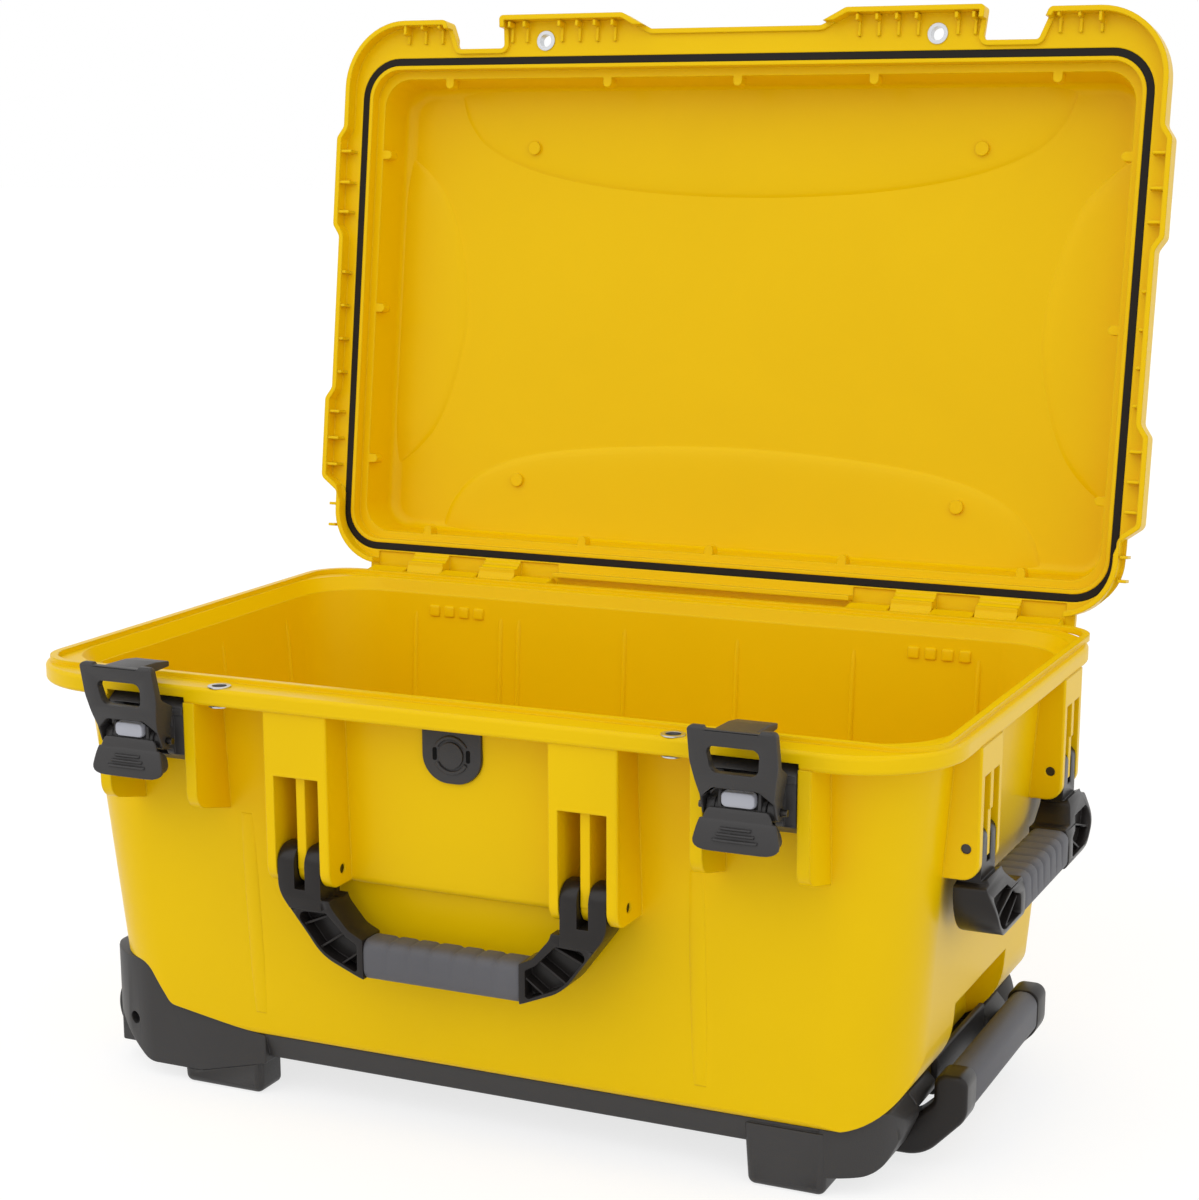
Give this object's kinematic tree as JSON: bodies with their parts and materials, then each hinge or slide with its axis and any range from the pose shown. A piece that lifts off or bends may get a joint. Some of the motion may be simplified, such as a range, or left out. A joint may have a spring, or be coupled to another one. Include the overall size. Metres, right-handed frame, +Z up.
{
  "type": "wheeled protective hard case",
  "caption": "Wheeled moulded protective case with a hinged open lid, claw latches, drop handles, a pull handle and padlock eyelets.",
  "frame": {"origin": "on the floor, under the middle of the open case's box", "axes": "+X along the length to the pull handle, +Y to the hinge side, +Z up"},
  "size_m": [0.627, 0.5416, 0.6836],
  "materials": {
    "yellow_shell": "satin moulded",
    "charcoal_plastic": "fine grained",
    "soft_grip": "matte",
    "grey_button": "satin",
    "seal": "matte",
    "tyre": "matte",
    "drawn_aluminium": "drawn",
    "steel": "plain"
  },
  "bodies": {
    "tub": {"tub_shell": "yellow_shell", "valve_body": "charcoal_plastic", "valve_cap": "charcoal_plastic", "base_frame": "charcoal_plastic", "base_screws": "steel", "front_handle_pins": "steel", "hinge_pin_left": "steel", "tub_eyelet_left": "steel", "latch_base_left": "charcoal_plastic", "latch_pin_left": "steel", "hinge_pin_right": "steel", "tub_eyelet_right": "steel", "latch_base_right": "charcoal_plastic", "latch_pin_right": "steel", "right_handle_pins": "steel", "wheel_axle_front": "steel", "rail_guide_front": "drawn_aluminium", "wheel_axle_rear": "steel", "rail_guide_rear": "drawn_aluminium"},
    "lid": {"lid_shell": "yellow_shell", "lid_gasket": "seal", "lid_eyelet_left": "steel", "lid_eyelet_right": "steel"},
    "claw_left": {"latch_claw_left": "charcoal_plastic"},
    "lever_left": {"latch_lever_left": "charcoal_plastic"},
    "button_left": {"latch_button_left": "grey_button"},
    "claw_right": {"latch_claw_right": "charcoal_plastic"},
    "lever_right": {"latch_lever_right": "charcoal_plastic"},
    "button_right": {"latch_button_right": "grey_button"},
    "handle_right": {"right_handle_frame": "charcoal_plastic", "right_handle_grip": "soft_grip"},
    "handle_front": {"front_handle_frame": "charcoal_plastic", "front_handle_grip": "soft_grip"},
    "pull_handle": {"pull_yoke": "charcoal_plastic", "pull_grip": "soft_grip", "pull_rail_front": "drawn_aluminium", "pull_rail_rear": "drawn_aluminium"},
    "wheel_front": {"wheel_hub_front": "charcoal_plastic", "wheel_tyre_front": "tyre"},
    "wheel_rear": {"wheel_hub_rear": "charcoal_plastic", "wheel_tyre_rear": "tyre"}
  },
  "joints": [
    {"name": "lid_hinge", "type": "hinge", "parent": "tub", "child": "lid", "pos_m": [0, 0.1593, 0.2743], "axis": [1, 0, 0], "range_deg": [0, 98.2]},
    {"name": "claw_swing_left", "type": "hinge", "parent": "tub", "child": "claw_left", "pos_m": [-0.196, -0.254, 0.246], "axis": [-1, 0, 0], "range_deg": [0, 8]},
    {"name": "lever_lift_left", "type": "hinge", "parent": "tub", "child": "lever_left", "pos_m": [-0.196, -0.254, 0.246], "axis": [1, 0, 0], "range_deg": [-50, 0]},
    {"name": "button_press_left", "type": "slide", "parent": "lever_left", "child": "button_left", "axis": [0, 1, 0], "range_m": [0, 0.0024], "stiffness_N_per_m": 400},
    {"name": "claw_swing_right", "type": "hinge", "parent": "tub", "child": "claw_right", "pos_m": [0.196, -0.254, 0.246], "axis": [-1, 0, 0], "range_deg": [0, 8]},
    {"name": "lever_lift_right", "type": "hinge", "parent": "tub", "child": "lever_right", "pos_m": [0.196, -0.254, 0.246], "axis": [1, 0, 0], "range_deg": [-50, 0]},
    {"name": "button_press_right", "type": "slide", "parent": "lever_right", "child": "button_right", "axis": [0, 1, 0], "range_m": [0, 0.0024], "stiffness_N_per_m": 400},
    {"name": "handle_swing_right", "type": "hinge", "parent": "tub", "child": "handle_right", "pos_m": [0.293, -0.042, 0.2087], "axis": [0, -1, 0], "range_deg": [0, 90]},
    {"name": "handle_swing_front", "type": "hinge", "parent": "tub", "child": "handle_front", "pos_m": [0, -0.225, 0.1705], "axis": [-1, 0, 0], "range_deg": [0, 90]},
    {"name": "pull_handle_slide", "type": "slide", "parent": "tub", "child": "pull_handle", "axis": [1, 0, 0], "range_m": [0, 0.4]},
    {"name": "wheel_spin_front", "type": "hinge", "parent": "tub", "child": "wheel_front", "pos_m": [-0.252, -0.161, 0.037], "axis": [0, 1, 0], "continuous": true},
    {"name": "wheel_spin_rear", "type": "hinge", "parent": "tub", "child": "wheel_rear", "pos_m": [-0.252, 0.077, 0.037], "axis": [0, 1, 0], "continuous": true}
  ]
}
